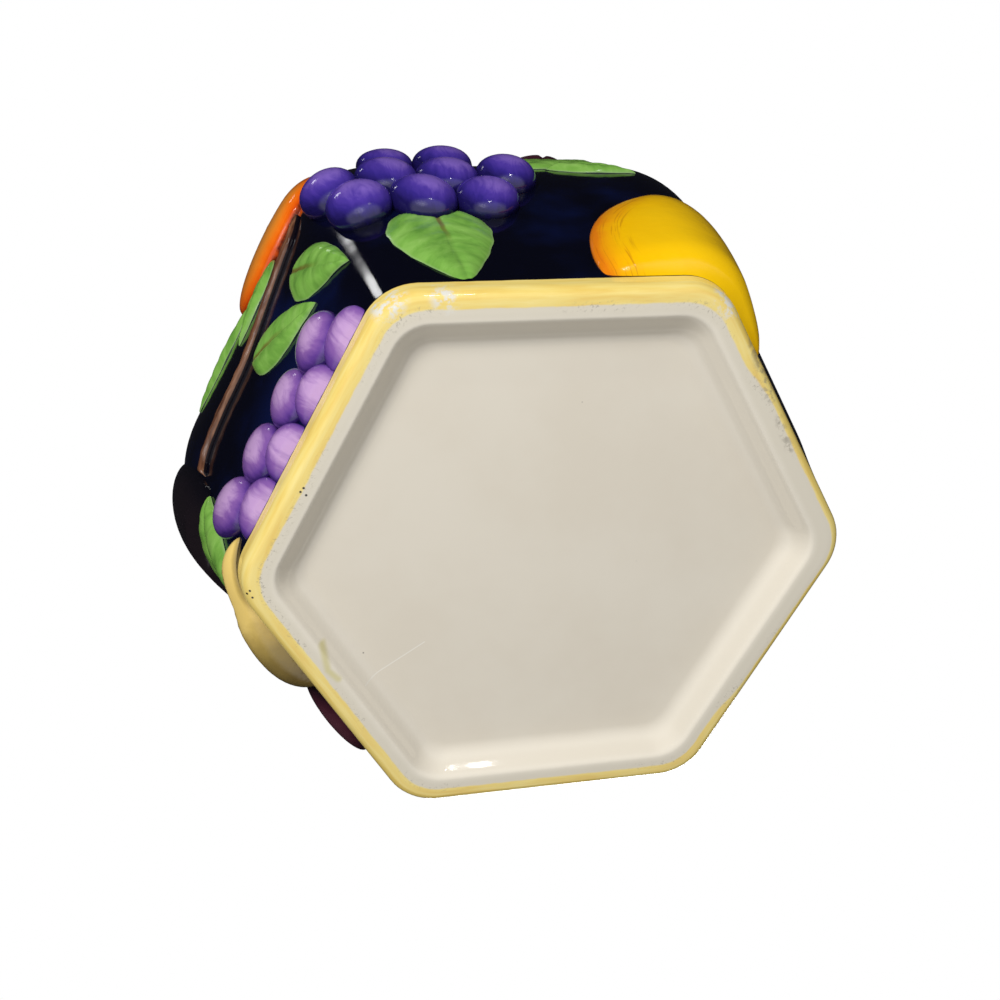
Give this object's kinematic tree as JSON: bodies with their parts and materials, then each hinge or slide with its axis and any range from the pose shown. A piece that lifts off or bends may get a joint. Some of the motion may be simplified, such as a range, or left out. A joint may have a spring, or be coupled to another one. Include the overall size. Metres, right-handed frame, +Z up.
{
  "type": "biscotti jar",
  "caption": "Hexagonal glazed stoneware biscotti jar on a recessed foot, with painted fruit and vine relief and a lift-off lid with a knob and a sealing ring.",
  "frame": {"origin": "middle of the plane that the foot stands on, on the jar axis", "axes": "+Z up along the jar axis, -Y out of the front flat, corners of the hexagon on +X and -X"},
  "size_m": [0.1854, 0.1759, 0.24],
  "materials": {
    "navy_glaze": "hand-painted under a glossy clear glaze",
    "yellow_glaze": "hand-painted under a glossy clear glaze",
    "lemon_glaze": "hand-painted under a glossy clear glaze",
    "orange_glaze": "hand-painted under a glossy clear glaze",
    "pear_glaze": "hand-painted under a glossy clear glaze",
    "plum_glaze": "hand-painted under a glossy clear glaze",
    "grape_glaze": "hand-painted under a glossy clear glaze",
    "leaf_glaze": "hand-painted under a glossy clear glaze",
    "vine_glaze": "hand-painted under a glossy clear glaze",
    "seal_silicone": "soft translucent silicone, satin"
  },
  "bodies": {
    "jar": {"grapes_back": "grape_glaze", "grapes_front": "grape_glaze", "grapes_left": "grape_glaze", "grapes_right": "grape_glaze", "jar_body": "navy_glaze", "leaf_back_left": "leaf_glaze", "leaf_back_low": "leaf_glaze", "leaf_back_side": "leaf_glaze", "leaf_front_corner": "leaf_glaze", "leaf_front_high": "leaf_glaze", "leaf_front_low": "leaf_glaze", "leaf_front_side": "leaf_glaze", "leaf_left_back": "leaf_glaze", "leaf_left_corner": "leaf_glaze", "leaf_left_high": "leaf_glaze", "leaf_left_low": "leaf_glaze", "leaf_left_stem": "leaf_glaze", "leaf_right_back": "leaf_glaze", "leaf_right_corner": "leaf_glaze", "leaf_right_high": "leaf_glaze", "leaf_right_low": "leaf_glaze", "leaf_shoulder_0": "leaf_glaze", "leaf_shoulder_1": "leaf_glaze", "leaf_shoulder_2": "leaf_glaze", "leaf_shoulder_3": "leaf_glaze", "leaf_shoulder_4": "leaf_glaze", "leaf_shoulder_5": "leaf_glaze", "lemon_front": "lemon_glaze", "lemon_left": "lemon_glaze", "lemon_right": "lemon_glaze", "orange_back": "orange_glaze", "orange_left": "orange_glaze", "orange_right": "orange_glaze", "pear_back": "pear_glaze", "pear_left": "pear_glaze", "plum_corner": "plum_glaze", "plum_left": "plum_glaze", "plum_right": "plum_glaze", "plum_shoulder_0": "plum_glaze", "plum_shoulder_1": "plum_glaze", "plum_shoulder_2": "plum_glaze", "plum_shoulder_3": "plum_glaze", "plum_shoulder_4": "plum_glaze", "plum_shoulder_5": "plum_glaze", "vine_back": "vine_glaze", "vine_left": "vine_glaze", "vine_right": "vine_glaze", "vine_side": "vine_glaze"},
    "lid": {"lid": "navy_glaze", "lid_knob": "yellow_glaze", "lid_leaf_0_a": "leaf_glaze", "lid_leaf_0_b": "leaf_glaze", "lid_leaf_1_a": "leaf_glaze", "lid_leaf_1_b": "leaf_glaze", "lid_leaf_2_a": "leaf_glaze", "lid_leaf_2_b": "leaf_glaze", "lid_lemon": "lemon_glaze", "lid_orange": "orange_glaze", "lid_plum": "plum_glaze", "lid_seal": "seal_silicone"}
  },
  "joints": [
    {"name": "lid_lift", "type": "slide", "parent": "jar", "child": "lid", "axis": [0, 0, 1], "range_m": [0, 0.09]}
  ]
}
